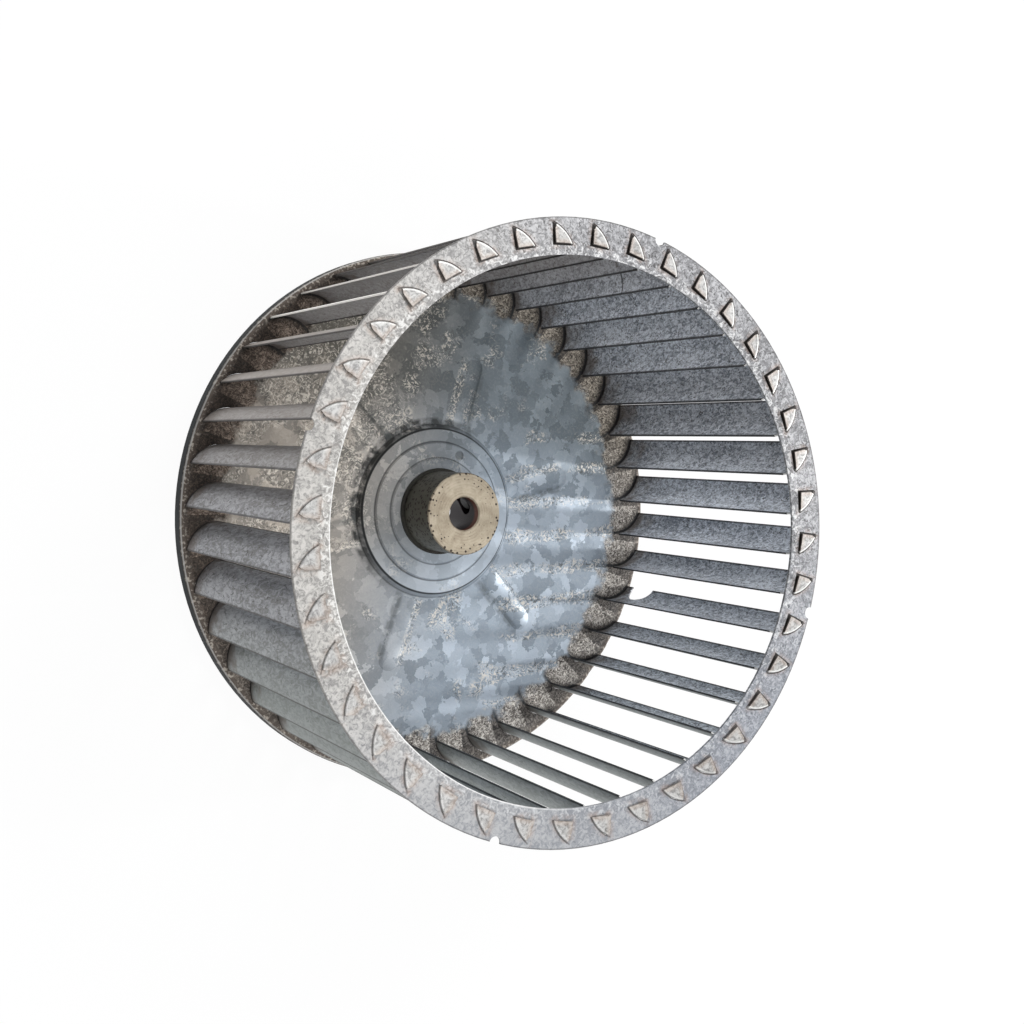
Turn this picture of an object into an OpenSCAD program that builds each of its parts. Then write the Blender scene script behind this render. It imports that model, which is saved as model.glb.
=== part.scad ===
// Single-inlet blower wheel in galvanised sheet steel.
// Curved blades are clinched to a front ring and a back disc by folded tabs,
// and a turned hub riveted through the disc carries the motor shaft.
// The wheel stands on the back lip, with its axis along +Z and the inlet up.

/* [Blades] */
// Number of blades round the wheel
blade_count = 40; // [30:1:44]
// Free length of a blade between the disc and the ring
blade_len = 107.9; // [60:0.1:140]
// Thickness of the blade sheet
blade_t = 0.55; // [0.4:0.05:0.8]
// Radius to which the blade is rolled, at the middle of the sheet
blade_bend_r = 13.6; // [12.5:0.1:14.2]
// Lean of the inner edge from the wheel's radius, in degrees
blade_inlet_angle = 10; // [5:1:14]
// Angle through which the blade is rolled, in degrees
blade_sweep_angle = 67; // [60:1:70]
// How far the blade's inner edge is set back from the ring's eye
blade_setback = 0.4; // [0:0.1:1]
// Corner clipped off the inner edge at each end
blade_clip = 2.2; // [1:0.1:4]
// Angle of the first blade's inner edge round the wheel, in degrees
blade_phase_angle = 0.6; // [0:0.1:8.9]

/* [Clinch tabs] */
// Roll angle at which the tab starts, from the blade's inner edge, in degrees
tab_from_angle = 14; // [10:1:20]
// Roll angle at which the tab ends, in degrees
tab_to_angle = 52; // [46:1:56]
// Clearance all round a tab in its slot
slot_clear = 0.12; // [0.05:0.01:0.25]
// How far the flap's outer edge stands past the end of its fold
flap_corner = 0.9; // [0:0.1:1.4]
// Angle by which the folded flap springs back from the sheet, in degrees
flap_lift_angle = 6; // [0:1:10]

/* [Front ring] */
// Outside diameter of the flat ring
ring_od = 209; // [170:0.5:250]
// Width of the ring, from its outer edge to the eye
ring_w = 12.9; // [12.4:0.1:13.5]
// Thickness of the ring's sheet
ring_t = 0.9; // [0.6:0.1:1.6]
// Number of gauge notches in the ring's outer edge
notch_count = 4; // [2:1:8]
// Radius of each gauge notch
notch_r = 2.1; // [1:0.1:2.4]
// Angle of the first notch round the ring, in degrees
notch_phase_angle = 70.4; // [0:0.1:89.9]

/* [Back disc] */
// How far the disc stands out past the ring all round
disc_over = 1; // [0.5:0.1:3]
// Thickness of the disc's sheet
disc_t = 0.9; // [0.6:0.1:1.4]
// Depth of the turned-back lip, from the disc's front face
lip_depth = 6.5; // [5:0.5:12]
// Inside radius of the lip's bend
lip_bend_r = 0.8; // [0.4:0.1:2]
// Rise of the shallow dish between the rim and the boss
dish_rise = 3; // [1:0.5:6]
// Width of the flat rim inside the blades, where the dish starts
dish_margin = 5; // [2:0.5:10]

/* [Pressed boss] */
// Radius of the boss at its top edge
boss_r = 32.9; // [30:0.1:34]
// Height of the boss above the dish
boss_rise = 2.5; // [1.5:0.1:4]
// Radial run of the boss's sloped wall
boss_run = 2; // [1.5:0.1:3.5]
// Flat land between the boss's edge and the first inner step
boss_land = 5; // [4:0.1:6]
// Flat land between the first and the second inner step
step_land = 5.7; // [5:0.1:7]
// Height, and radial run, of each inner step
step_rise = 0.8; // [0.4:0.1:1.2]
// Radius of the round dimple in the boss
dimple_r = 1.9; // [1:0.1:2.4]
// Depth of the round dimple
dimple_depth = 0.35; // [0.2:0.05:0.5]
// Angle of the dimple round the boss, in degrees
dimple_angle = 65; // [0:1:359]

/* [Pressed ribs] */
// Number of radial ribs pressed into the disc
rib_count = 6; // [3:1:8]
// Length of a rib between the centres of its round ends
rib_len = 21.8; // [15:0.5:34]
// Width of a rib where it leaves the disc
rib_w = 9; // [4:0.2:10]
// Height of a rib above the disc
rib_rise = 1.2; // [0.8:0.1:1.6]
// Gap between the boss and the end of a rib
rib_gap = 0.4; // [0.2:0.1:3]
// Angle of the first rib round the disc, in degrees
rib_phase_angle = 11; // [0:1:59]

/* [Hub] */
// Diameter of the motor shaft
shaft_d = 12.7; // [10:0.05:16]
// Clearance all round the shaft in the bore
shaft_clear = 0.02; // [0.01:0.005:0.04]
// Outside diameter of the hub
hub_od = 31.75; // [29:0.25:33]
// Length of the hub in front of the disc
hub_len = 21.3; // [16:0.1:30]
// How far the shoulder that bears on the disc stands out from the hub
shoulder_w = 1.3; // [0.8:0.1:2.5]
// Thickness of the shoulder
shoulder_t = 1; // [0.6:0.1:2]
// Diameter of the spigot in the disc's hole
spigot_d = 24; // [20:0.5:26]
// Clearance between the spigot and the disc's hole
spigot_clear = 0.05; // [0.02:0.01:0.15]
// How far the head peened over behind the disc stands out from the spigot
peen_w = 2; // [1.5:0.1:3]
// Thickness of the peened head
peen_t = 1.6; // [1:0.1:2.4]
// Chamfer at both ends of the bore
bore_chamfer = 0.5; // [0.2:0.1:1]
// Chamfer round the hub's front face
hub_chamfer = 0.4; // [0.2:0.1:1]

/* [Set screw] */
// Diameter of the headless set screw
screw_d = 7.9; // [5:0.1:9]
// Length of the set screw
screw_len = 8; // [6:0.1:8.4]
// Height of the screw's axis above the disc's seat
screw_height = 11; // [9:0.5:13]
// Clearance between the screw and its tapped hole
screw_clear = 0.05; // [0.02:0.01:0.1]
// Distance from the screw's tip to the bore
screw_standoff = 0.3; // [0.2:0.05:0.6]
// Width across the flats of the key socket
key_w = 4; // [2.5:0.5:4.5]
// Depth of the key socket
key_depth = 3.5; // [2:0.1:4]
// Height of the screw's cone point
point_len = 1.4; // [0.8:0.1:2]
// Angle of the screw round the hub, in degrees
screw_angle = 30; // [0:1:359]

/* [Edge damage] */
// Number of the blade whose outer edge is notched
nicked_blade_number = 38; // [1:1:40]
// Radius of the half-round notch in that blade
nick_r = 7; // [3:0.1:8]
// Height of the notch's centre above the disc
nick_height = 11.3; // [8:0.1:60]

/* [Hidden] */
// How far a cutting shape runs past the face that it cuts
overrun = 0.5;
// Facets on a full turn, where a view needs them
$fn = 96;

blade_pitch_angle = 360 / blade_count;
ring_id = ring_od - 2 * ring_w;
blade_in_r = ring_id / 2 + blade_setback;
disc_rim_r = ring_od / 2 + disc_over;

// Heights of the faces, counted up from the standing edge of the lip
disc_front_z = lip_depth;
disc_back_z = lip_depth - disc_t;
ring_back_z = disc_front_z + blade_len;
ring_front_z = ring_back_z + ring_t;
dish_r = blade_in_r - dish_margin;
boss_foot_r = boss_r + boss_run;
step_1_r = boss_r - boss_land;
step_2_r = step_1_r - step_rise - step_land;
dish_top_z = disc_front_z + dish_rise;
boss_z = dish_top_z + boss_rise;
step_1_z = boss_z + step_rise;
seat_z = step_1_z + step_rise;
hub_face_z = seat_z + hub_len;
hub_back_z = seat_z - disc_t - peen_t;
bore_r = shaft_d / 2 + shaft_clear;
hub_r = hub_od / 2;
shoulder_r = hub_r + shoulder_w;
spigot_r = spigot_d / 2;
peen_r = spigot_r + peen_w;

// Slope of the dish, and where the ribs start on it
dish_slope_angle = atan(dish_rise / (dish_r - boss_foot_r));
rib_start_r = boss_foot_r + rib_gap + rib_w / 2;
rib_start_z = dish_top_z - (rib_start_r - boss_foot_r) * tan(dish_slope_angle);
// Radius of the round section that gives a rib its width and height
rib_bend_r = (rib_w * rib_w / 4 + rib_rise * rib_rise) / (2 * rib_rise);

// Centre of the blade's roll, for a blade whose inner edge is on the X axis
roll_x = blade_in_r - blade_bend_r * sin(blade_inlet_angle);
roll_y = blade_bend_r * cos(blade_inlet_angle);

function blade_x(a) = roll_x + blade_bend_r * sin(blade_inlet_angle + a);
function blade_y(a) = roll_y - blade_bend_r * cos(blade_inlet_angle + a);

// Corner of the folded flap, and how far in from its fold the flap is drawn
flap_x = blade_x(tab_from_angle);
flap_y = blade_y(tab_to_angle) + flap_corner;
flap_reach = blade_bend_r - norm([flap_x - roll_x, flap_y - roll_y]) + blade_t / 2;
flap_lift = flap_reach * tan(flap_lift_angle);
// Angles that the slot's clearance and an overrun take up along the roll
slot_clear_angle = atan(slot_clear / blade_bend_r);
overrun_angle = atan(overrun / blade_bend_r);

// Point of an outline moved to the sheet's other face, along both bends
function unit(v) = v / norm(v);
function left_of(v) = [-v[1], v[0]];
function other_face(p, i, t) =
    let (
        d_in = unit(p[max(i, 1)] - p[max(i, 1) - 1]),
        d_out = unit(p[min(i, len(p) - 2) + 1] - p[min(i, len(p) - 2)]),
        n_mid = unit(left_of(d_in) + left_of(d_out))
    )
    p[i] + n_mid * t / (n_mid * left_of(d_in));

// Front face of the disc in section, from the hub's hole out to the lip
disc_face = [
    [spigot_r + spigot_clear, seat_z],
    [step_2_r - step_rise, seat_z],
    [step_2_r, step_1_z],
    [step_1_r - step_rise, step_1_z],
    [step_1_r, boss_z],
    [boss_r, boss_z],
    [boss_foot_r, dish_top_z],
    [dish_r, disc_front_z],
    [disc_rim_r - disc_t - lip_bend_r, disc_front_z]
];
last_point = len(disc_face) - 1;

function blade_name(i) = str("blade_", i < 10 ? "0" : "", i);

// Sector of a section revolved about the blade's roll axis
module rolled(from_angle, to_angle) {
    translate([roll_x, roll_y, 0])
        rotate_extrude(angle = to_angle - from_angle, start = blade_inlet_angle + from_angle - 90)
            children();
}

// Slots for the tabs of every blade, cut through a sheet
module tab_slots(z, t) {
    slot_w = blade_t + 2 * slot_clear;
    for (i = [1:blade_count])
        rotate([0, 0, blade_phase_angle + (i - 1) * blade_pitch_angle])
            rolled(tab_from_angle - slot_clear_angle, tab_to_angle + slot_clear_angle)
                translate([blade_bend_r - slot_w / 2, z - overrun])
                    square([slot_w, t + 2 * overrun]);
}

// Blade strip, rolled, with a stub left standing at each end for its tab
module blade_strip() {
    difference() {
        translate([0, 0, disc_back_z])
            rolled(0, blade_sweep_angle)
                translate([blade_bend_r - blade_t / 2, 0])
                    square([blade_t, disc_t + blade_len + ring_t]);
        for (span = [[-overrun_angle, tab_from_angle], [tab_to_angle, blade_sweep_angle + overrun_angle]]) {
            translate([0, 0, ring_back_z])
                rolled(span[0], span[1])
                    translate([blade_bend_r - blade_t, 0])
                        square([2 * blade_t, ring_t + overrun]);
            translate([0, 0, disc_back_z - overrun])
                rolled(span[0], span[1])
                    translate([blade_bend_r - blade_t, 0])
                        square([2 * blade_t, disc_t + overrun]);
        }
    }
}

// Flap that starts on a stub's end at z = 0, on a bend one sheet thick,
// and leans inwards over the blade's hollow side
module flap() {
    intersection() {
        rolled(tab_from_angle, tab_to_angle)
            translate([blade_bend_r - blade_t / 2, 0]) {
                intersection() {
                    circle(r = blade_t);
                    square(blade_t);
                }
                polygon([
                    [0, 0],
                    [0, blade_t],
                    [-flap_reach, blade_t + flap_lift],
                    [-flap_reach, flap_lift]
                ]);
            }
        translate([flap_x, -flap_y, -overrun])
            cube([blade_bend_r, 2 * flap_y, blade_t + flap_lift + 2 * overrun]);
    }
}

// Clip across the inner corner of a blade, whose end is at z = 0
module corner_clip() {
    rotate([90, 0, 0])
        linear_extrude(height = blade_bend_r, center = true)
            polygon([
                [blade_in_r - blade_t - overrun, overrun],
                [blade_in_r + blade_clip + overrun, overrun],
                [blade_in_r - blade_t - overrun, -blade_clip - blade_t - overrun]
            ]);
}

// Half-round notch in the outer edge of a blade
module edge_nick() {
    tip_angle = blade_inlet_angle + blade_sweep_angle;
    translate([blade_x(blade_sweep_angle), blade_y(blade_sweep_angle), disc_front_z + nick_height])
        rotate([0, 90, tip_angle - 90])
            cylinder(r = nick_r, h = blade_bend_r, center = true);
}

module blade(i) {
    color("SlateGray")
        rotate([0, 0, blade_phase_angle + (i - 1) * blade_pitch_angle])
            difference() {
                union() {
                    blade_strip();
                    translate([0, 0, ring_front_z])
                        flap();
                    translate([0, 0, disc_back_z])
                        mirror([0, 0, 1])
                            flap();
                }
                translate([0, 0, ring_back_z])
                    corner_clip();
                translate([0, 0, disc_front_z])
                    mirror([0, 0, 1])
                        corner_clip();
                if (i == nicked_blade_number)
                    edge_nick();
            }
}

module front_ring() {
    color("Gainsboro")
        difference() {
            translate([0, 0, ring_back_z])
                cylinder(d = ring_od, h = ring_t);
            translate([0, 0, ring_back_z - overrun])
                cylinder(d = ring_id, h = ring_t + 2 * overrun);
            tab_slots(ring_back_z, ring_t);
            for (k = [0:notch_count - 1])
                rotate([0, 0, notch_phase_angle + k * 360 / notch_count])
                    translate([ring_od / 2, 0, ring_back_z - overrun])
                        cylinder(r = notch_r, h = ring_t + 2 * overrun);
        }
}

// Round-ended bar along X
module bar(r, length) {
    rotate([0, 90, 0])
        cylinder(r = r, h = length);
    sphere(r = r);
    translate([length, 0, 0])
        sphere(r = r);
}

// Places its children on the dish, at the inner end of rib k
module at_rib(k) {
    rotate([0, 0, rib_phase_angle + k * 360 / rib_count])
        translate([rib_start_r, 0, rib_start_z])
            rotate([0, dish_slope_angle, 0])
                children();
}

// Lip at the rim, with its bend
module lip() {
    bend_x = disc_rim_r - disc_t - lip_bend_r;
    bend_z = disc_front_z - disc_t - lip_bend_r;
    rotate_extrude() {
        translate([bend_x, bend_z])
            intersection() {
                difference() {
                    circle(r = lip_bend_r + disc_t);
                    circle(r = lip_bend_r);
                }
                square([lip_bend_r + disc_t, lip_bend_r + disc_t]);
            }
        translate([bend_x + lip_bend_r, 0])
            square([disc_t, bend_z]);
    }
}

module back_disc() {
    back_face = [for (i = [last_point:-1:0]) other_face(disc_face, i, -disc_t)];
    color("LightSlateGray")
        difference() {
            union() {
                rotate_extrude()
                    polygon(concat(disc_face, back_face));
                lip();
                for (k = [0:rib_count - 1])
                    at_rib(k)
                        intersection() {
                            translate([0, 0, rib_rise - rib_bend_r])
                                bar(rib_bend_r, rib_len);
                            translate([-rib_w, -rib_w, -disc_t / 2])
                                cube([rib_len + 2 * rib_w, 2 * rib_w, disc_t + rib_rise]);
                        }
            }
            for (k = [0:rib_count - 1])
                at_rib(k)
                    translate([0, 0, rib_rise - rib_bend_r])
                        bar(rib_bend_r - disc_t, rib_len);
            rotate([0, 0, dimple_angle])
                translate([(step_1_r + step_2_r - step_rise) / 2, 0, step_1_z - dimple_depth])
                    cylinder(r = dimple_r, h = dimple_depth + overrun);
            tab_slots(disc_back_z, disc_t);
        }
}

// Places its children with +Z along the set screw, at the screw's tip
module at_screw() {
    rotate([0, 0, screw_angle])
        translate([bore_r + screw_standoff, 0, seat_z + screw_height])
            rotate([0, 90, 0])
                children();
}

module hub() {
    color("Tan")
        difference() {
            rotate_extrude()
                polygon([
                    [bore_r, hub_back_z + bore_chamfer],
                    [bore_r + bore_chamfer, hub_back_z],
                    [peen_r - peen_t / 2, hub_back_z],
                    [peen_r, hub_back_z + peen_t / 2],
                    [peen_r, seat_z - disc_t],
                    [spigot_r, seat_z - disc_t],
                    [spigot_r, seat_z],
                    [shoulder_r, seat_z],
                    [shoulder_r, seat_z + shoulder_t],
                    [hub_r, seat_z + shoulder_t],
                    [hub_r, hub_face_z - hub_chamfer],
                    [hub_r - hub_chamfer, hub_face_z],
                    [bore_r + bore_chamfer, hub_face_z],
                    [bore_r, hub_face_z - bore_chamfer]
                ]);
            at_screw()
                translate([0, 0, -bore_r])
                    cylinder(d = screw_d + 2 * screw_clear, h = bore_r + hub_r);
        }
}

module set_screw() {
    screw_r = screw_d / 2;
    color("DimGray")
        at_screw()
            difference() {
                rotate_extrude()
                    polygon([
                        [0, 0],
                        [screw_r - point_len, 0],
                        [screw_r, point_len],
                        [screw_r, screw_len],
                        [0, screw_len]
                    ]);
                translate([0, 0, screw_len - key_depth])
                    cylinder(d = key_w / cos(30), h = key_depth + overrun, $fn = 6);
            }
}

front_ring();
back_disc();
hub();
set_screw();
for (i = [1:blade_count])
    blade(i);
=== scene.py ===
# %% [markdown]
# # A galvanised blower wheel
#
# A blower wheel is the rotor of a small ventilation fan. Air enters through the flat
# ring, the curved blades fling it outwards, and a back disc with a bored hub carries
# the whole cage on a motor shaft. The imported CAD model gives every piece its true
# form, so this lesson is about finish: how zinc, dust and turned steel are told apart.

# %% Load the frame
import math

import bpy
from mathutils import Euler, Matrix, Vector


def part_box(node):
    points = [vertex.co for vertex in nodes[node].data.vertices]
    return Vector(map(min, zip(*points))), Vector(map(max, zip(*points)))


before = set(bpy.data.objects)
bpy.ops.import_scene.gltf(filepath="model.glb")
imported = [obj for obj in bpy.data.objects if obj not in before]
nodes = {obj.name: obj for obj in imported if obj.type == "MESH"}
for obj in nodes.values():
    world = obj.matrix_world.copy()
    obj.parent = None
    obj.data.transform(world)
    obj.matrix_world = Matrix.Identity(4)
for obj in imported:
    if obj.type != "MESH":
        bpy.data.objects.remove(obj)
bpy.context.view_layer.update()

# %% [markdown]
# ## Units and sizes
#
# Blender counts in metres, and a sheet-metal worker in millimetres. One factor turns
# one into the other. Patterns are worked out in millimetres too, so a fleck that is
# meant to be 1 mm long stays 1 mm long. The sizes below are the wheel's own.

# %% Sizes of the cage
MM = 0.001
BLADE_PITCH = math.radians(9.0)
BLADE_PHASE = math.radians(0.6)
BLADE_IN_R = 92.0
BEND_R = 13.6
BEND_INLET = math.radians(10)
TAB_FROM = math.radians(14)
TAB_TO = math.radians(52)
CLIP = 2.2
FLAP_CORNER = 0.9
RING_BACK_Z = 114.4
RING_FRONT_Z = 115.3
DISC_FRONT_Z = 6.5

# %% Sizes of the pressed boss and the hub
BOSS_R = 32.9
BOSS_FOOT_R = 34.9
STEP_RADII = (27.9, 21.4)
DIMPLE_R = 1.9
DIMPLE_PLACE = (24.25, math.radians(65))
DISC_RIM_R = 105.5
BORE_R = 6.37
HUB_R = 15.875
HUB_FACE_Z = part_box("hub")[1].z / MM
HUB_SEAT_Z = 13.6
print("hub's face stands at", round(HUB_FACE_Z, 2), "mm")

# %% [markdown]
# ## Camera
#
# The photograph looks into the inlet from a little to the left, so the outside of the
# blades shows on one side and the inside on the other. The wheel stands on its back, so
# the camera hangs above it. It starts out looking straight down the axis, is turned by
# 26 degrees about the wheel's own upright direction, tipped by 4 and rolled by 1. The
# photograph is framed off centre, which the lens shift copies.

# %% Place the camera
FRAME_PX = 1024
FOCAL_PX = 1339
AXIS_POINT_PX = (386, 338)
SENSOR_MM = 36.0
CAMERA_MM = (-254.6, 33.9, 492.9)
CAMERA_TIP = math.radians(4.22)
CAMERA_TURN = math.radians(-25.74)
CAMERA_ROLL = math.radians(1.36)

camera_data = bpy.data.cameras.new("camera")
camera_data.sensor_width = SENSOR_MM
camera_data.lens = SENSOR_MM * FOCAL_PX / FRAME_PX
camera_data.shift_x = (FRAME_PX / 2 - AXIS_POINT_PX[0]) / FRAME_PX
camera_data.shift_y = (AXIS_POINT_PX[1] - FRAME_PX / 2) / FRAME_PX
camera_data.clip_start = 0.01
camera = bpy.data.objects.new("camera", camera_data)
camera.location = Vector(CAMERA_MM) * MM
camera.rotation_mode = "ZYX"
camera.rotation_euler = Euler((CAMERA_TIP, CAMERA_TURN, CAMERA_ROLL), "ZYX")
bpy.context.scene.collection.objects.link(camera)
bpy.context.scene.camera = camera
print("lens:", round(camera_data.lens, 2), "mm")
print("shift:", round(camera_data.shift_x, 3), round(camera_data.shift_y, 3))

# %% [markdown]
# ## Three small helpers
#
# Colours are written as sRGB hex values, the way a colour picker shows them, but
# Blender's shaders work in linear light. The first function makes the change. The
# second adds a shader node with its settings and links in one go and gives back the
# socket that comes out, so that each finish below reads as a list of steps. The third
# starts an empty material.

# %% Helpers for colour and nodes
def linear(hex_colour):
    """An sRGB hex colour as linear red, green, blue and alpha."""
    parts = [int(hex_colour[i:i + 2], 16) / 255 for i in (1, 3, 5)]
    return [p / 12.92 if p <= 0.04045 else ((p + 0.055) / 1.055) ** 2.4 for p in parts] + [1.0]


def add(tree, kind, inputs=(), output=0, stops=(), **settings):
    """Add one shader node. A list fills its live sockets in order, a dictionary by name."""
    node = tree.nodes.new("ShaderNode" + kind)
    for name, value in settings.items():
        setattr(node, name, value)
    live = [socket for socket in node.inputs if socket.enabled]
    named = {socket.name: socket for socket in live}
    for key, value in inputs.items() if isinstance(inputs, dict) else enumerate(inputs):
        socket = named[key] if isinstance(key, str) else live[key]
        if isinstance(value, bpy.types.NodeSocket):
            tree.links.new(value, socket)
        else:
            socket.default_value = value
    for number, (position, colour) in enumerate(stops):
        elements = node.color_ramp.elements
        element = elements[number] if number < 2 else elements.new(position)
        element.position = position
        element.color = linear(colour)
    if isinstance(output, str):
        return node.outputs[output]
    outputs = [socket for socket in node.outputs if socket.enabled]
    return outputs[output] if outputs else None


def new_material(name):
    """An empty material and its node tree."""
    material = bpy.data.materials.new(name)
    material.use_nodes = True
    material.node_tree.nodes.clear()
    return material, material.node_tree


test_material, test_tree = new_material("test_of_the_helpers")
test_socket = add(test_tree, "Math", [1.0, 0.5], operation="MULTIPLY")
print("a Math node gives back its", test_socket.name, "socket; mid grey is", round(linear("#808080")[0], 3))
bpy.data.materials.remove(test_material)

# %% [markdown]
# ## Where on the wheel
#
# Dirt on a blower wheel isn't scattered evenly. It gathers where the air turns: in the
# hollow of each blade, along the blades' edges and round each folded tab. So the
# finishes need to know where on the wheel a point lies. The circle is cut into forty
# equal shares, one for each blade, and every point is turned back into the first share.
# There, `along` runs out from the axis through the blade's inner edge, `across` runs
# square to it, and `roll` is the distance from the centre to which the blade is rolled.

# %% Place of a point in one blade's share
SHARE_MARGIN = math.radians(1.5)
ROLL_ALONG = BLADE_IN_R - BEND_R * math.sin(BEND_INLET)
ROLL_ACROSS = BEND_R * math.cos(BEND_INLET)
print("roll centre:", round(ROLL_ALONG, 2), "mm along and", round(ROLL_ACROSS, 2), "mm across")


def place(tree):
    """Where a point lies on the wheel, in millimetres, as a dictionary of sockets."""
    metres = add(tree, "TexCoord", output="Object")
    at = {"mm": add(tree, "VectorMath", {"Vector": metres, "Scale": 1 / MM}, operation="SCALE")}
    at["x"], at["y"], at["height"] = add(tree, "SeparateXYZ", [at["mm"]]).node.outputs
    flat = add(tree, "CombineXYZ", [at["x"], at["y"]])
    at["radius"] = add(tree, "VectorMath", [flat], operation="LENGTH")
    at["angle"] = add(tree, "Math", [at["y"], at["x"]], operation="ARCTAN2")
    turned = add(tree, "Math", [at["angle"], 2 * math.pi - BLADE_PHASE + SHARE_MARGIN], operation="ADD")
    share = add(tree, "Math", [turned, BLADE_PITCH], operation="MODULO")
    share = add(tree, "Math", [share, SHARE_MARGIN], operation="SUBTRACT")
    cosine = add(tree, "Math", [share], operation="COSINE")
    sine = add(tree, "Math", [share], operation="SINE")
    at["along"] = add(tree, "Math", [at["radius"], cosine], operation="MULTIPLY")
    at["across"] = add(tree, "Math", [at["radius"], sine], operation="MULTIPLY")
    in_share = add(tree, "CombineXYZ", [at["along"], at["across"]])
    at["roll"] = add(tree, "VectorMath", [in_share, (ROLL_ALONG, ROLL_ACROSS, 0)], operation="DISTANCE")
    return at


def toward(tree, at, degrees, near_mm, far_mm, least=0.0, most=1.0):
    """A slow fade across the wheel, from least to most between two distances along a direction."""
    direction = (math.cos(math.radians(degrees)), math.sin(math.radians(degrees)), 0)
    distance = add(tree, "VectorMath", [at["mm"], direction], operation="DOT_PRODUCT")
    return add(tree, "MapRange", [distance, near_mm, far_mm, least, most], interpolation_type="SMOOTHSTEP")


def line(tree, value, where, half_width, strength):
    """A thin line where a value crosses one number, softened over its outer half."""
    off = add(tree, "Math", [value, where], operation="SUBTRACT")
    off = add(tree, "Math", [off], operation="ABSOLUTE")
    return add(tree, "MapRange", [off, half_width, half_width / 2, 0.0, strength])


# %% [markdown]
# ## The skin of old zinc
#
# Seen close, weathered galvanising is pale grey with short darker strokes, black pits
# and slow drifts of tone where water once stood. Noises of different grain make these,
# and a fine bump makes the surface catch the light unevenly. A sheet's own lightness
# comes from the three tones given to the function.

# %% Strokes, pits and drifts
GRAIN_MM = 1.7
PIT_MM = 1.8
DRIFT_MM = 24.0
PIT_COLOUR = "#3A3837"


def zinc_tones(tree, at, tones, pit_level, pit_strength, stretch=(1, 1, 1)):
    """Colour of weathered zinc: grain over a slow drift, with dark pits, and the grain itself."""
    where = add(tree, "VectorMath", [at["mm"], stretch], operation="MULTIPLY")
    grain = add(tree, "TexNoise", {"Vector": where, "Scale": 1 / GRAIN_MM, "Detail": 3.0,
                                   "Roughness": 0.62, "Distortion": 1.1})
    drift = add(tree, "TexNoise", {"Vector": where, "Scale": 1 / DRIFT_MM, "Detail": 3.0})
    level = add(tree, "Mix", {"Factor": 0.2, "A": grain, "B": drift})
    tone = add(tree, "ValToRGB", [level], stops=list(zip((0.4, 0.49, 0.59), tones)))
    pits = add(tree, "TexNoise", {"Vector": where, "Scale": 1 / PIT_MM, "Detail": 2.0, "Distortion": 2.2})
    pit = add(tree, "MapRange", [pits, pit_level, pit_level - 0.05, 0.0, pit_strength])
    tone = add(tree, "Mix", {"Factor": pit, "A": tone, "B": linear(PIT_COLOUR)}, data_type="RGBA")
    return tone, grain


def finish(tree, colour, metallic, roughness, height, height_mm, normal=None):
    """Close a material: a principled surface with a bump of so many millimetres."""
    bump_inputs = {"Height": height, "Distance": height_mm * MM}
    if normal:
        bump_inputs["Normal"] = normal
    bumped = add(tree, "Bump", bump_inputs)
    surface = add(tree, "BsdfPrincipled", {"Base Color": colour, "Metallic": metallic,
                                           "Roughness": roughness, "Normal": bumped})
    add(tree, "OutputMaterial", {"Surface": surface})


# %% [markdown]
# ## Rust and painted shadow round the tabs
#
# Every blade's tab comes up through a slot and is folded over. Where the zinc cracked
# at the slot and the tab's cut edges, rust creeps out as a warm stain. A near-black line
# under the edges and a thin dark line just outside the fold are painted shadow, with dirt
# in the corner. The flap's two straight edges and its fold lie at known places in the
# blade's share, so all of it can follow them.

# %% Distance from the flap's edges
FLAP_ALONG = ROLL_ALONG + BEND_R * math.sin(BEND_INLET + TAB_FROM)
FLAP_ACROSS = ROLL_ACROSS - BEND_R * math.cos(BEND_INLET + TAB_TO) + FLAP_CORNER
print("flap's corner:", round(FLAP_ALONG, 2), "mm along and", round(FLAP_ACROSS, 2), "mm across")


def inside_flap(tree, at):
    """Millimetres in from the nearer of the flap's two straight edges, negative outside."""
    past_inner = add(tree, "Math", [at["along"], FLAP_ALONG], operation="SUBTRACT")
    past_side = add(tree, "Math", [FLAP_ACROSS, at["across"]], operation="SUBTRACT")
    return add(tree, "Math", [past_inner, past_side], operation="MINIMUM")


# %% Painted shadow, dirt and rust on the ring beside a flap
SHADOW_DIRT_LINE_MM = 0.65
HALO_MM = 2.6


def tab_shadow_dirt_and_rust(tree, at):
    """The dark lines along the flap's edges and fold, painted shadow with dirt, and the rust halo round
    them.
    """
    inside = inside_flap(tree, at)
    before_fold = add(tree, "Math", [BEND_R, at["roll"]], operation="SUBTRACT")
    within_fold = add(tree, "MapRange", [before_fold, -0.5, 0.0])
    edge = add(tree, "MapRange", [inside, -SHADOW_DIRT_LINE_MM, -SHADOW_DIRT_LINE_MM * 0.75])
    edge = add(tree, "Math", [edge, within_fold], operation="MULTIPLY")
    fold = line(tree, at["roll"], BEND_R + 0.45, 0.35, 1.0)
    in_tab = add(tree, "MapRange", [inside, -0.5, 0.1])
    fold = add(tree, "Math", [fold, in_tab], operation="MULTIPLY")
    ragged = add(tree, "TexNoise", {"Vector": at["mm"], "Scale": 1 / 3.0, "Detail": 3.0})
    ragged = add(tree, "MapRange", [ragged, 0.42, 0.6])
    halo_edge = add(tree, "MapRange", [inside, -HALO_MM, 0.0], interpolation_type="SMOOTHSTEP")
    halo_fold = add(tree, "MapRange", [before_fold, -HALO_MM, 0.5], interpolation_type="SMOOTHSTEP")
    halo = add(tree, "Math", [halo_edge, halo_fold], operation="MULTIPLY")
    halo = add(tree, "Math", [halo, ragged], operation="MULTIPLY")
    return edge, fold, halo
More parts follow.
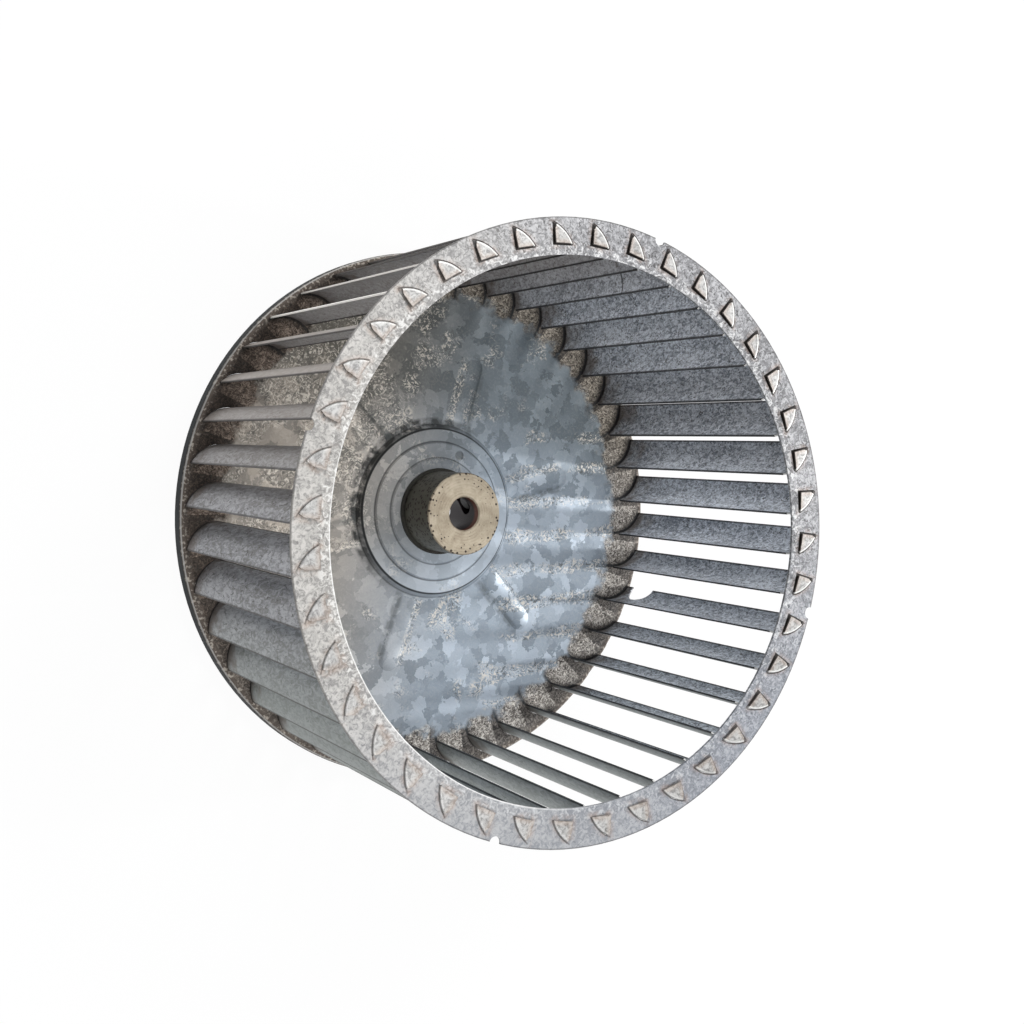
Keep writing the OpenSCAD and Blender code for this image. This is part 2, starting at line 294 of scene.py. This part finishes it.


# %% [markdown]
# ## The ring
#
# The ring faces the light and is the palest sheet on the wheel. Toward the right it is
# painted darker, as painted shade, and it is more pitted there. Near its bore it is rubbed
# to pale flecks, and a painted highlight runs along the bore's edge on the lower left.
# At one notch it was once knocked: the sheet is creased along a radius there. The crease
# is shallow, so a bump that leans one way on one side of the line and the other way
# beyond it shows it.

# %% Ring's finish
CREASE_ANGLE = math.radians(160.4)
CREASE_HALF_MM = 9.0
CREASE_DEPTH_MM = 0.8
RUBBED_R = 95.0
RING_IN_R = 91.6
RING_EDGE_R = 104.5
LEFT_RING_ZINC = ("#8A8886", "#A8A6A2", "#BEBBB7")
SHADED_PITTED_ZINC = ("#767678", "#929294", "#B4B4B6")


def ring_finish():
    """Pale speckled zinc, with painted shadow, dirt and rust round the slots, painted shade toward the
    right, a painted highlight on the bore's edge and one crease.
    """
    material, tree = new_material("galvanised_ring")
    at = place(tree)
    left_zinc, stroke = zinc_tones(tree, at, LEFT_RING_ZINC, 0.36, 0.4)
    shaded_pitted_zinc, _ = zinc_tones(tree, at, SHADED_PITTED_ZINC, 0.42, 0.7)
    # Painted shade: the ring darkens toward the right, and it has more pits there too.
    right_shade_and_pits = toward(tree, at, 20, -70.0, 50.0)
    tone = add(tree, "Mix", {"Factor": right_shade_and_pits, "A": left_zinc, "B": shaded_pitted_zinc}, data_type="RGBA")
    fleck = add(tree, "MapRange", [stroke, 0.52, 0.62, 0.0, 0.6])
    rubbed = add(tree, "MapRange", [at["radius"], RUBBED_R + 1.5, RUBBED_R - 0.5])
    rubbed = add(tree, "Math", [rubbed, fleck], operation="MULTIPLY")
    cool = toward(tree, at, -80, 10.0, 100.0, 0.0, 0.4)
    # Painted shadow with dirt: the dark lines along the flaps' edges and just outside their folds,
    # strongest where the edges face away from the light.
    edge, fold, halo = tab_shadow_dirt_and_rust(tree, at)
    halo = add(tree, "Math", [halo, 0.35], operation="MULTIPLY")
    shaded = toward(tree, at, 35, -60.0, 50.0, 0.12, 1.0)
    edge = add(tree, "Math", [edge, shaded], operation="MULTIPLY")
    shaded = toward(tree, at, 35, -60.0, 50.0, 0.55, 0.95)
    fold = add(tree, "Math", [fold, shaded], operation="MULTIPLY")
    rim = line(tree, at["radius"], RING_EDGE_R, 0.5, 0.6)
    # Painted highlight: a bright line along the bore's edge on the lower left.
    bore_highlight = line(tree, at["radius"], RING_IN_R + 0.1, 0.3, 1.0)
    lit = toward(tree, at, 212, 35.0, 80.0, 0.0, 0.6)
    bore_highlight = add(tree, "Math", [bore_highlight, lit], operation="MULTIPLY")
    for mask, colour in ((rubbed, "#DEDEDC"), (cool, "#848D9B"), (halo, "#A5836A"), (edge, "#1B1612"),
                         (fold, "#2C211B"), (rim, "#3A3836"), (bore_highlight, "#F4F4F2")):
        tone = add(tree, "Mix", {"Factor": mask, "A": tone, "B": linear(colour)}, data_type="RGBA")
    sideways = add(tree, "VectorMath", [at["mm"], (-math.sin(CREASE_ANGLE), math.cos(CREASE_ANGLE), 0)],
                   operation="DOT_PRODUCT")
    from_crease = add(tree, "Math", [sideways], operation="ABSOLUTE")
    crease = add(tree, "MapRange", [from_crease, CREASE_HALF_MM, 0.0])
    left_half = add(tree, "Math", [at["x"], 0.0], operation="LESS_THAN")
    crease = add(tree, "Math", [crease, left_half], operation="MULTIPLY")
    creased = add(tree, "Bump", {"Height": crease, "Distance": CREASE_DEPTH_MM * MM})
    finish(tree, tone, 0.45, 0.5, stroke, 0.05, creased)
    return material


# %% [markdown]
# ## The back disc
#
# Sheet for ducts and fans is drawn through molten zinc, which freezes in flat crystals
# called spangle. Each crystal leans its own way and catches the light differently. The
# cells of a Voronoi pattern, pushed about by a noise, give that patchwork: one random
# number for each cell sets its tone, and the cell's colour tips its normal a little.

# %% Spangle
SPANGLE_MM = 6.0
SPANGLE_TONES = [(0.0, "#87929C"), (0.35, "#98A3AE"), (0.65, "#A6B1BC"), (1.0, "#B9C4CF")]


def spangle(tree, at):
    """A crystal's tone, a random number for it, and a normal that leans with each crystal."""
    drift = add(tree, "TexNoise", {"Vector": at["mm"], "Scale": 1.6 / SPANGLE_MM, "Detail": 5.0,
                                   "Roughness": 0.6}, "Color")
    pushed = add(tree, "VectorMath", [drift, (1.5 * SPANGLE_MM,) * 3, at["mm"]], operation="MULTIPLY_ADD")
    cell = add(tree, "TexVoronoi", {"Vector": pushed, "Scale": 1 / SPANGLE_MM}, "Color")
    one, two = add(tree, "SeparateColor", [cell]).node.outputs[:2]
    tone = add(tree, "ValToRGB", [one], stops=SPANGLE_TONES)
    lean = add(tree, "VectorMath", [cell, (0.5, 0.5, 0.5)], operation="SUBTRACT")
    lean = add(tree, "VectorMath", {"Vector": lean, "Scale": 0.1}, operation="SCALE")
    normal = add(tree, "NewGeometry", output="Normal")
    normal = add(tree, "VectorMath", [normal, lean], operation="ADD")
    return tone, two, add(tree, "VectorMath", [normal], operation="NORMALIZE")


# %% [markdown]
# White rust lies over the spangle in short curls with dark bare metal between them. It
# grows in patches above and left of the boss and along one flank of each rib. On the
# right the curls also gather in rows, a painted light that follows the streaks of light
# falling through the gaps between the blades. The ribs are found as the blades were, by
# cutting the circle into six shares.

# %% White rust
CURL_MM = 2.3
PATCH_MM = 13.0
ROW_PITCH_MM = 13.8
ROW_AT_MM = 1.5
RIB_PITCH = math.radians(60)
RIB_PHASE = math.radians(11)
RIB_HALF_MM = 4.6
RIB_FROM_R = 36.0
RIB_TO_R = 66.0


def rib_side(tree, at):
    """Distance across the nearest rib, in millimetres, and where along the ribs it counts."""
    turned = add(tree, "Math", [at["angle"], 2 * math.pi - RIB_PHASE + RIB_PITCH / 2], operation="ADD")
    share = add(tree, "Math", [turned, RIB_PITCH], operation="MODULO")
    share = add(tree, "Math", [share, RIB_PITCH / 2], operation="SUBTRACT")
    sine = add(tree, "Math", [share], operation="SINE")
    across = add(tree, "Math", [at["radius"], sine], operation="MULTIPLY")
    beyond = add(tree, "MapRange", [at["radius"], RIB_FROM_R - 1.5, RIB_FROM_R])
    before = add(tree, "MapRange", [at["radius"], RIB_TO_R, RIB_TO_R - 6.0])
    return across, add(tree, "Math", [beyond, before], operation="MULTIPLY")


def white_rust(tree, at):
    """Curls of white rust, the dark bare metal between them, and the noise behind both."""
    curl = add(tree, "TexNoise", {"Vector": at["mm"], "Scale": 1 / CURL_MM, "Detail": 3.5,
                                  "Roughness": 0.62, "Distortion": 2.2})
    patch = add(tree, "TexNoise", {"Vector": at["mm"], "Scale": 1 / PATCH_MM, "Detail": 4.0})
    left = toward(tree, at, 150, 12.0, 46.0, 0.0, 0.16)
    # Painted light: these rows follow the streaks of light that fall through the gaps between the blades.
    from_row = add(tree, "Math", [at["y"], ROW_AT_MM], operation="SUBTRACT")
    rows = add(tree, "Math", [from_row, 2 * math.pi / ROW_PITCH_MM], operation="MULTIPLY")
    rows = add(tree, "MapRange", [add(tree, "Math", [rows], operation="COSINE"), -0.3, 0.8, -0.1, 0.2])
    rows = add(tree, "Math", [rows, toward(tree, at, -5, 24.0, 44.0)], operation="MULTIPLY")
    rows = add(tree, "Math", [rows, toward(tree, at, 90, 36.0, 22.0)], operation="MULTIPLY")
    amount = add(tree, "Math", [left, rows], operation="ADD")
    amount = add(tree, "Math", [amount, patch], operation="ADD")
    amount = add(tree, "MapRange", [amount, 0.55, 0.68, 0.08, 1.0], interpolation_type="SMOOTHSTEP")
    off_boss = add(tree, "MapRange", [at["radius"], BOSS_R, BOSS_FOOT_R, 0.5, 1.0])
    amount = add(tree, "Math", [amount, off_boss], operation="MULTIPLY")
    across, on_ribs = rib_side(tree, at)
    flank = line(tree, across, RIB_HALF_MM, 2.2, 0.9)
    flank = add(tree, "Math", [flank, on_ribs], operation="MULTIPLY")
    amount = add(tree, "Math", [amount, flank], operation="MAXIMUM")
    light = add(tree, "MapRange", [curl, 0.52, 0.6])
    dark = add(tree, "MapRange", [curl, 0.46, 0.38])
    light = add(tree, "Math", [light, amount], operation="MULTIPLY")
    dark = add(tree, "Math", [dark, amount], operation="MULTIPLY")
    return light, dark, curl


# %% [markdown]
# Dust lies in the hollow of each blade, from the blades' inner edges outwards. It is
# darkest in the corner against the blade. On the left and toward the upper right it is
# browner and darker, partly thick brown dust and partly painted shade of the blades and
# the cage's top. The lip behind the blades is painted near-black, partly painted shade
# and partly dirt, and a painted highlight runs along its bend.

# %% Dust on the disc
DUST_FROM_R = 86.5
DUST_FULL_R = 91.0
DUST_GRAIN_MM = 1.8
DUST_TONES = [(0.37, "#39312B"), (0.46, "#857D74"), (0.53, "#ADA69E"), (0.6, "#F0EBE2")]


def disc_dust(tree, at):
    """How much dust covers the disc, and its colour."""
    ragged = add(tree, "TexNoise", {"Vector": at["mm"], "Scale": 1 / 6.0, "Detail": 4.0})
    ragged = add(tree, "MapRange", [ragged, 0.3, 0.7, -3.5, 3.5])
    reach = add(tree, "Math", [at["radius"], ragged], operation="ADD")
    cover = add(tree, "MapRange", [reach, DUST_FROM_R, DUST_FULL_R, 0.0, 0.94],
                interpolation_type="SMOOTHSTEP")
    grain = add(tree, "TexNoise", {"Vector": at["mm"], "Scale": 1 / DUST_GRAIN_MM, "Detail": 4.0,
                                   "Roughness": 0.68, "Distortion": 2.2})
    tone = add(tree, "ValToRGB", [grain], stops=DUST_TONES)
    corner = add(tree, "MapRange", [at["roll"], 9.5, 13.2, 0.0, 0.8], interpolation_type="SMOOTHSTEP")
    # Partly brown dust, partly painted shade: darker on the left and toward the upper right.
    left = toward(tree, at, 160, 30.0, 85.0, 0.0, 0.9)
    upper = toward(tree, at, 60, 40.0, 75.0, 0.0, 0.8)
    root = line(tree, at["roll"], BEND_R - 0.5, 0.7, 0.9)
    for mask, colour in ((corner, "#5E544C"), (left, "#968478"), (upper, "#958D80"), (root, "#1E1A18")):
        tone = add(tree, "Mix", {"Factor": mask, "A": tone, "B": linear(colour)}, data_type="RGBA",
                   blend_type="MULTIPLY")
    return cover, tone


# %% Soot, and painted shade with dirt in the creases, on the disc
def disc_marks(tree, at):
    """Painted shade with dirt in the pressed boss's creases, the soot outside it and the dimple, as masks
    and colours.
    """
    marks = []
    # Painted shade: dark lines along the boss's creases and steps, with dirt in them.
    for radius, half_mm, strength in ((BOSS_R + 0.2, 0.5, 0.9), (BOSS_FOOT_R, 0.4, 0.35),
                                      (STEP_RADII[0], 0.4, 0.6), (STEP_RADII[1], 0.4, 0.5)):
        marks.append((line(tree, at["radius"], radius, half_mm, strength), "#26292A"))
    ragged = add(tree, "TexNoise", {"Vector": at["mm"], "Scale": 1 / 4.0, "Detail": 4.0})
    ragged = add(tree, "MapRange", [ragged, 0.36, 0.54])
    soot = line(tree, at["radius"], BOSS_FOOT_R + 0.4, 2.8, 0.9)
    soot = add(tree, "Math", [soot, toward(tree, at, 145, -5.0, 24.0)], operation="MULTIPLY")
    marks.append((add(tree, "Math", [soot, ragged], operation="MULTIPLY"), "#2B2C2B"))
    across, on_ribs = rib_side(tree, at)
    flank = line(tree, across, -RIB_HALF_MM, 2.0, 0.5)
    flank = add(tree, "Math", [flank, on_ribs], operation="MULTIPLY")
    marks.append((add(tree, "Math", [flank, ragged], operation="MULTIPLY"), "#525757"))
    side, angle = DIMPLE_PLACE
    dimple = (side * math.cos(angle), side * math.sin(angle), HUB_SEAT_Z)
    from_dimple = add(tree, "VectorMath", [at["mm"], dimple], operation="DISTANCE")
    marks.append((add(tree, "MapRange", [from_dimple, DIMPLE_R + 0.4, DIMPLE_R, 0.0, 0.75]), "#666C70"))
    return marks


# %% Disc's finish
RIM_SPOT_MM = 1.3


def disc_finish():
    """Spangled zinc with painted shade and dirt in its creases, painted shade toward the upper right, and
    brown dust between the blades.
    """
    material, tree = new_material("spangled_back_disc")
    at = place(tree)
    tone, patch, normal = spangle(tree, at)
    boss = add(tree, "MapRange", [at["radius"], BOSS_FOOT_R, BOSS_R])
    left = toward(tree, at, 150, -18.0, 14.0, 0.0, 0.2)
    boss_left = add(tree, "Math", [boss, left], operation="MULTIPLY")
    # Warmer toward the left; painted shade toward the upper right, where the cage's top shades the disc; a
    # tint on the boss's left.
    for mask, colour in ((toward(tree, at, 165, -25.0, 55.0, 0.0, 0.95), "#FADEC2"),
                         (toward(tree, at, 72, 16.0, 54.0, 0.0, 0.72), "#979A95"),
                         (boss_left, "#B4B0A2")):
        tone = add(tree, "Mix", {"Factor": mask, "A": tone, "B": linear(colour)}, data_type="RGBA",
                   blend_type="MULTIPLY")
    light, dark, curl = white_rust(tree, at)
    dark = add(tree, "Math", [dark, 0.75], operation="MULTIPLY")
    light = add(tree, "Math", [light, 0.85], operation="MULTIPLY")
    low = toward(tree, at, -75, -5.0, 24.0, 0.0, 0.45)
    boss_low = add(tree, "Math", [boss, low], operation="MULTIPLY")
    coats = [(boss_low, "#C4CDD6"), (dark, "#5B5A55"), (light, "#DDD6CA")]
    for mask, colour in coats + disc_marks(tree, at):
        tone = add(tree, "Mix", {"Factor": mask, "A": tone, "B": linear(colour)}, data_type="RGBA")
    cover, dust = disc_dust(tree, at)
    tone = add(tree, "Mix", {"Factor": cover, "A": tone, "B": dust}, data_type="RGBA")
    spots = add(tree, "TexNoise", {"Vector": at["mm"], "Scale": 1 / RIM_SPOT_MM, "Detail": 3.0})
    spots = add(tree, "MapRange", [spots, 0.53, 0.62, 0.0, 0.75])
    rim = add(tree, "MapRange", [at["radius"], DISC_RIM_R - 3.5, DISC_RIM_R - 1.2, 0.0, 0.9])
    spots = add(tree, "Math", [spots, rim], operation="MULTIPLY")
    # Painted highlight along the lip's bend.
    bend = line(tree, at["radius"], DISC_RIM_R - 0.5, 0.3, 0.7)
    # Painted shade with dirt: the lip is near-black.
    lip = add(tree, "MapRange", [at["height"], DISC_FRONT_Z - 0.7, DISC_FRONT_Z - 1.6])
    for mask, colour in ((rim, "#5A514A"), (spots, "#C2BAAE"), (bend, "#B5B4B1"), (lip, "#24282A")):
        tone = add(tree, "Mix", {"Factor": mask, "A": tone, "B": linear(colour)}, data_type="RGBA")
    metallic = add(tree, "MapRange", [cover, 0.0, 1.0, 0.45, 0.0])
    shine = add(tree, "MapRange", [patch, 0.0, 1.0, 0.48, 0.62])
    roughness = add(tree, "Mix", {"Factor": cover, "A": shine, "B": 0.9})
    finish(tree, tone, metallic, roughness, curl, 0.05, normal)
    return material


# %% [markdown]
# ## The blades
#
# The blades are greyer than the ring. Their hollow side keeps a cool, finely pitted
# skin, drawn out a little along the blade by the rolls. The air leaves past their outer
# side, which has gone dull and brownish. Their inner edges are cut sheet and carry a
# black line of dirt that turns the corner with the clipped end. The clipped cut face and
# the tips of the upper left blades carry a painted highlight, and the outer edges a
# painted shade line. The folded flap in front of the ring shares the ring's light skin,
# with painted shade on its cut edges and a painted highlight along its fold.

# %% Blades' edges
EDGE_LINE_MM = 0.75
TIP_ACROSS = 8.7
TIP_EDGE_ACROSS = 9.9


def blade_edges(tree, at):
    """Dirt on the inner edge, clipped corner and root, painted shade on the outer edge, and painted
    highlights on the cut and tips.
    """
    inner = add(tree, "MapRange", [at["along"], BLADE_IN_R + EDGE_LINE_MM, BLADE_IN_R + EDGE_LINE_MM / 2,
                                   0.0, 0.92])
    from_end = add(tree, "Math", [RING_BACK_Z, at["height"]], operation="SUBTRACT")
    corner = add(tree, "Math", [at["along"], from_end], operation="ADD")
    clipped = line(tree, corner, BLADE_IN_R + CLIP + 0.3, 0.75, 0.9)
    # Painted highlight on the clipped corner's cut face.
    cut = line(tree, corner, BLADE_IN_R + CLIP, 0.16, 1.0)
    # Painted highlight on the tips of the upper left blades.
    tip = add(tree, "MapRange", [at["across"], TIP_ACROSS - 0.3, TIP_ACROSS])
    tip_highlight = add(tree, "Math", [toward(tree, at, 90, 66.0, 74.0), toward(tree, at, 180, 44.0, 54.0)],
                 operation="MULTIPLY")
    tip_highlight = add(tree, "Math", [tip, tip_highlight], operation="MULTIPLY")
    # Painted shade: a dark line on the blades' outer edges.
    outer = add(tree, "MapRange", [at["across"], TIP_EDGE_ACROSS - 0.3, TIP_EDGE_ACROSS, 0.0, 0.75])
    root = add(tree, "MapRange", [at["height"], DISC_FRONT_Z + 1.4, DISC_FRONT_Z + 0.8, 0.0, 0.85])
    return [(outer, "#2A2523"), (tip_highlight, "#FAF7F2"), (root, "#15110F"), (inner, "#131313"),
            (clipped, "#131313"), (cut, "#D8D8D6")]


# %% Flap's skin
FLAP_ZINC = ("#868584", "#A5A4A2", "#BCBBB9")


def flap_skin(tree, at):
    """The ring's pale zinc on the folded flap, rusty at its cut edges, with painted shade on them and a
    painted highlight along the fold.
    """
    tone, _ = zinc_tones(tree, at, FLAP_ZINC, 0.36, 0.4)
    inside = inside_flap(tree, at)
    stain = add(tree, "MapRange", [inside, 2.2, 0.3, 0.0, 0.25], interpolation_type="SMOOTHSTEP")
    # Painted shade with dirt on the flap's cut edges, strongest where they face away from the light.
    cut = add(tree, "MapRange", [inside, 0.3, 0.15])
    cut = add(tree, "Math", [cut, toward(tree, at, 35, -60.0, 50.0, 0.2, 0.85)], operation="MULTIPLY")
    # Painted highlight along the fold.
    fold = line(tree, at["roll"], BEND_R - 0.1, 0.5, 1.0)
    fold = add(tree, "Math", [fold, toward(tree, at, 35, -60.0, 50.0, 0.15, 0.75)], operation="MULTIPLY")
    for mask, colour in ((stain, "#A58467"), (cut, "#241C17"), (fold, "#E4E4E1")):
        tone = add(tree, "Mix", {"Factor": mask, "A": tone, "B": linear(colour)}, data_type="RGBA")
    return tone


# %% Blades' finish
MARKED_ANGLE = math.radians(65.2)
MARKED_R = 95.0
MARKED_HEIGHT = 84.0
HOLLOW_ZINC = ("#7B828C", "#B4BBC6", "#DCE3EC")
OUTER_ZINC = ("#787878", "#929397", "#AEAFB3")
# Each blade is a little darker or lighter than the next, between these two factors.
OWN_TONE = (0.88, 1.06)


def blade_finish():
    """Cool pitted zinc in the hollow, dull brown-grey outside, dirty edges with painted highlights and
    shade lines, and a pale flap.
    """
    material, tree = new_material("galvanised_blade")
    at = place(tree)
    hollow, stroke = zinc_tones(tree, at, HOLLOW_ZINC, 0.4, 0.8, (1.25, 1.25, 0.85))
    aged = toward(tree, at, 125, 30.0, 80.0, 0.0, 0.7)
    hollow = add(tree, "Mix", {"Factor": aged, "A": hollow, "B": linear("#8C8580")}, data_type="RGBA")
    outer, _ = zinc_tones(tree, at, OUTER_ZINC, 0.38, 0.7, (1, 1, 0.45))
    warm = toward(tree, at, 90, -5.0, 60.0, 0.0, 0.7)
    low = toward(tree, at, -90, 15.0, 70.0, 0.0, 0.6)
    for mask, colour in ((warm, "#A0958A"), (low, "#8B938D")):
        outer = add(tree, "Mix", {"Factor": mask, "A": outer, "B": linear(colour)}, data_type="RGBA")
    outside = add(tree, "Math", [at["roll"], BEND_R], operation="GREATER_THAN")
    tone = add(tree, "Mix", {"Factor": outside, "A": hollow, "B": outer}, data_type="RGBA")
    own = add(tree, "ObjectInfo", output="Random")
    own = add(tree, "MapRange", [own, 0.0, 1.0, *OWN_TONE])
    tone = add(tree, "VectorMath", {"Vector": tone, "Scale": own}, operation="SCALE")
    ragged = add(tree, "TexNoise", {"Vector": at["mm"], "Scale": 1 / 7.0, "Detail": 4.0})
    ragged = add(tree, "MapRange", [ragged, 0.3, 0.7, -9.0, 9.0])
    reach = add(tree, "Math", [at["height"], ragged], operation="ADD")
    dusty = add(tree, "MapRange", [reach, 20.0, 4.0, 0.0, 0.75], interpolation_type="SMOOTHSTEP")
    mark = (MARKED_R * math.cos(MARKED_ANGLE), MARKED_R * math.sin(MARKED_ANGLE), MARKED_HEIGHT)
    from_mark = add(tree, "VectorMath", [at["mm"], mark], operation="DISTANCE")
    near_mark = add(tree, "MapRange", [from_mark, 4.6, 4.0])
    scratch = line(tree, at["height"], MARKED_HEIGHT, 0.5, 0.8)
    scratch = add(tree, "Math", [scratch, near_mark], operation="MULTIPLY")
    for mask, colour in [(dusty, "#675D55")] + blade_edges(tree, at) + [(scratch, "#222326")]:
        tone = add(tree, "Mix", {"Factor": mask, "A": tone, "B": linear(colour)}, data_type="RGBA")
    flap = add(tree, "Math", [at["height"], RING_FRONT_Z - 0.05], operation="GREATER_THAN")
    tone = add(tree, "Mix", {"Factor": flap, "A": tone, "B": flap_skin(tree, at)}, data_type="RGBA")
    finish(tree, tone, 0.4, 0.5, stroke, 0.05)
    return material


# %% [markdown]
# ## Hub and set screw
#
# The hub was turned from bar, and its yellow plating has worn thin. The tool left fine
# rings, a third of a millimetre apart, on every turned face. The front face is wiped
# clean, and the side is a darker olive, partly grime and partly painted shade from inside
# the cage. Corrosion has eaten small pits into the rim, the bore is brown with old rust,
# and deeper in the bore painted shade darkens it.

# %% Hub's finish
TOOL_RING_MM = 0.35
# The true rings are finer than the picture's pixels, so a coarser set is painted to show.
SHOWN_RING_MM = 1.1
FACE_EDGE_MM = 0.5
HUB_PIT_MM = 1.6


def hub_finish():
    """Turned steel under worn yellow plating, with tool rings and pits."""
    material, tree = new_material("yellow_plated_turned_hub")
    at = place(tree)
    wear = add(tree, "TexNoise", {"Vector": at["mm"], "Scale": 1 / 7.0, "Detail": 6.0, "Roughness": 0.75})
    tone = add(tree, "ValToRGB", [wear], stops=[(0.35, "#998C79"), (0.5, "#ADA18D"), (0.65, "#BDB19D")])
    travel = add(tree, "Math", [at["radius"], at["height"]], operation="ADD")
    rings = add(tree, "Math", [travel, 2 * math.pi / TOOL_RING_MM], operation="MULTIPLY")
    rings = add(tree, "Math", [rings], operation="SINE")
    shown = add(tree, "Math", [at["radius"], 2 * math.pi / SHOWN_RING_MM], operation="MULTIPLY")
    shown = add(tree, "Math", [shown], operation="SINE")
    uneven = add(tree, "TexNoise", {"Vector": at["mm"], "Scale": 1 / 3.0, "Detail": 3.0})
    uneven = add(tree, "MapRange", [uneven, 0.42, 0.65, 0.0, 0.4])
    shown = add(tree, "Math", [shown, uneven], operation="MULTIPLY")
    # Partly grime, partly painted shade: the hub's side is a darker olive.
    side = add(tree, "MapRange", [at["height"], HUB_FACE_Z - 0.3, HUB_FACE_Z - 0.8, 0.0, 0.9])
    pits = add(tree, "TexVoronoi", {"Vector": at["mm"], "Scale": 1 / HUB_PIT_MM})
    near_rim = add(tree, "MapRange", [at["radius"], HUB_R - 5.0, HUB_R, 0.12, 0.38])
    depth = add(tree, "Math", [pits, near_rim], operation="SUBTRACT")
    pit = add(tree, "MapRange", [depth, 0.02, -0.06])
    foot = add(tree, "MapRange", [at["height"], HUB_SEAT_Z + 2.0, HUB_SEAT_Z + 0.9])
    bore = add(tree, "MapRange", [at["radius"], BORE_R + 0.5, BORE_R + 0.2])
    below_face = add(tree, "MapRange", [at["height"], HUB_FACE_Z - FACE_EDGE_MM + 0.1,
                                        HUB_FACE_Z - FACE_EDGE_MM - 0.1])
    bore = add(tree, "Math", [bore, below_face], operation="MULTIPLY")
    # Painted shade: the bore darkens with depth.
    within = add(tree, "MapRange", [at["radius"], HUB_R - 1.0, HUB_R - 2.0])
    deep = add(tree, "MapRange", [at["height"], HUB_FACE_Z - 2.5, HUB_FACE_Z - 4.0])
    deep = add(tree, "Math", [within, deep], operation="MULTIPLY")
    for mask, colour in ((shown, "#7D705F"), (side, "#5C5C53"), (pit, "#3C322B"), (foot, "#2C2B27"),
                         (bore, "#7A4838"), (deep, "#2A2226")):
        tone = add(tree, "Mix", {"Factor": mask, "A": tone, "B": linear(colour)}, data_type="RGBA")
    finish(tree, tone, 0.55, 0.45, rings, 0.004)
    return material


# %% Set screw's finish
def screw_finish():
    """Black oxide on a hardened screw, worn grey in small spots."""
    material, tree = new_material("black_oxide_screw")
    at = place(tree)
    wear = add(tree, "TexNoise", {"Vector": at["mm"], "Scale": 1 / 0.8, "Detail": 4.0})
    tone = add(tree, "ValToRGB", [wear], stops=[(0.4, "#1C1C1E"), (0.7, "#3C3C3E")])
    finish(tree, tone, 0.6, 0.45, wear, 0.01)
    return material


# %% [markdown]
# ## Dress the nodes
#
# A CAD node keeps its mesh. Only the material in its slot changes.

# %% Assign the materials
finishes = {
    "front_ring": ring_finish(),
    "back_disc": disc_finish(),
    "hub": hub_finish(),
    "set_screw": screw_finish(),
    "blade": blade_finish(),
}
for name, node in nodes.items():
    node.data.materials.clear()
    node.data.materials.append(finishes["blade" if name.startswith("blade") else name])
print("dressed", len(nodes), "nodes in", len(finishes), "finishes")

# %% [markdown]
# ## Floor and light
#
# The photograph has no ground to speak of, only white. The floor is pale, and for the
# camera and for reflections it mostly glows, so it stays near white and still takes a
# faint shadow.

# %% Floor
GLOW = 0.94
FLOOR_M = 6.0
FLOOR_DROP_M = 0.0002
bpy.ops.mesh.primitive_plane_add(size=FLOOR_M, location=(0, 0, -FLOOR_DROP_M))
floor = bpy.context.object
floor.name = "floor"
floor_material, floor_tree = new_material("pale_floor")
path = add(floor_tree, "LightPath").node
matt = add(floor_tree, "BsdfDiffuse", {"Color": linear("#E6E6E6")})
glow = add(floor_tree, "Emission", {"Color": linear("#FFFFFF"), "Strength": 1.0})
seen = path.outputs["Is Camera Ray"]
for ray in ("Is Glossy Ray", "Is Transmission Ray"):
    seen = add(floor_tree, "Math", [seen, path.outputs[ray]], operation="MAXIMUM")
part_glow = add(floor_tree, "Math", [seen, GLOW], operation="MULTIPLY")
surface = add(floor_tree, "MixShader", [part_glow, matt, glow])
add(floor_tree, "OutputMaterial", {"Surface": surface})
floor.data.materials.append(floor_material)
print("floor under the wheel at", round(floor.location.z / MM, 2), "mm")


# %% Lamps
def lamp(name, place_mm, aim_mm, width_mm, height_mm, watts):
    """A white soft box at one place, aimed at another."""
    data = bpy.data.lights.new(name, "AREA")
    data.shape = "RECTANGLE"
    data.size = width_mm * MM
    data.size_y = height_mm * MM
    data.energy = watts
    box = bpy.data.objects.new(name, data)
    box.location = Vector(place_mm) * MM
    box.rotation_euler = (Vector(aim_mm) - Vector(place_mm)).to_track_quat("-Z", "Y").to_euler()
    bpy.context.scene.collection.objects.link(box)
    return box


lamps = [
    lamp("softbox_above", (380, 680, 900), (0, 0, 50), 400, 400, 6.5),
    lamp("fill_below", (-150, -450, 950), (0, 0, 50), 500, 500, 4),
    lamp("window_right", (900, -70, 250), (0, 0, 20), 70, 320, 6),
    lamp("rim_above", (-300, 800, 350), (-60, 80, 60), 200, 200, 1.2),
]
print("lamps:", [box.name for box in lamps])

# %% [markdown]
# The surroundings are bright on the right and dim on the left, as the dark lip and the
# dark side of the hub show. The world's own direction sets its strength. The camera
# itself sees it white, as a backdrop.

# %% World
# Where the light stops growing, from -1 at the far left to 1 at the far right.
DIM_AT, BRIGHT_AT = -0.9, 0.4
DIM, BRIGHT = 0.25, 0.9

world = bpy.data.worlds.new("studio")
world.use_nodes = True
world_tree = world.node_tree
direction = add(world_tree, "TexCoord", output="Generated")
side = add(world_tree, "SeparateXYZ", [direction])
strength = add(world_tree, "MapRange", [side, DIM_AT, BRIGHT_AT, DIM, BRIGHT])
background = world_tree.nodes["Background"]
background.inputs["Color"].default_value = linear("#F4F5F7")
seen_directly = add(world_tree, "LightPath", output="Is Camera Ray")
strength = add(world_tree, "Mix", {"Factor": seen_directly, "A": strength, "B": 1.0})
world_tree.links.new(strength, background.inputs["Strength"])
bpy.context.scene.world = world
bpy.context.scene.view_settings.view_transform = "Standard"
print("world:", world.name)
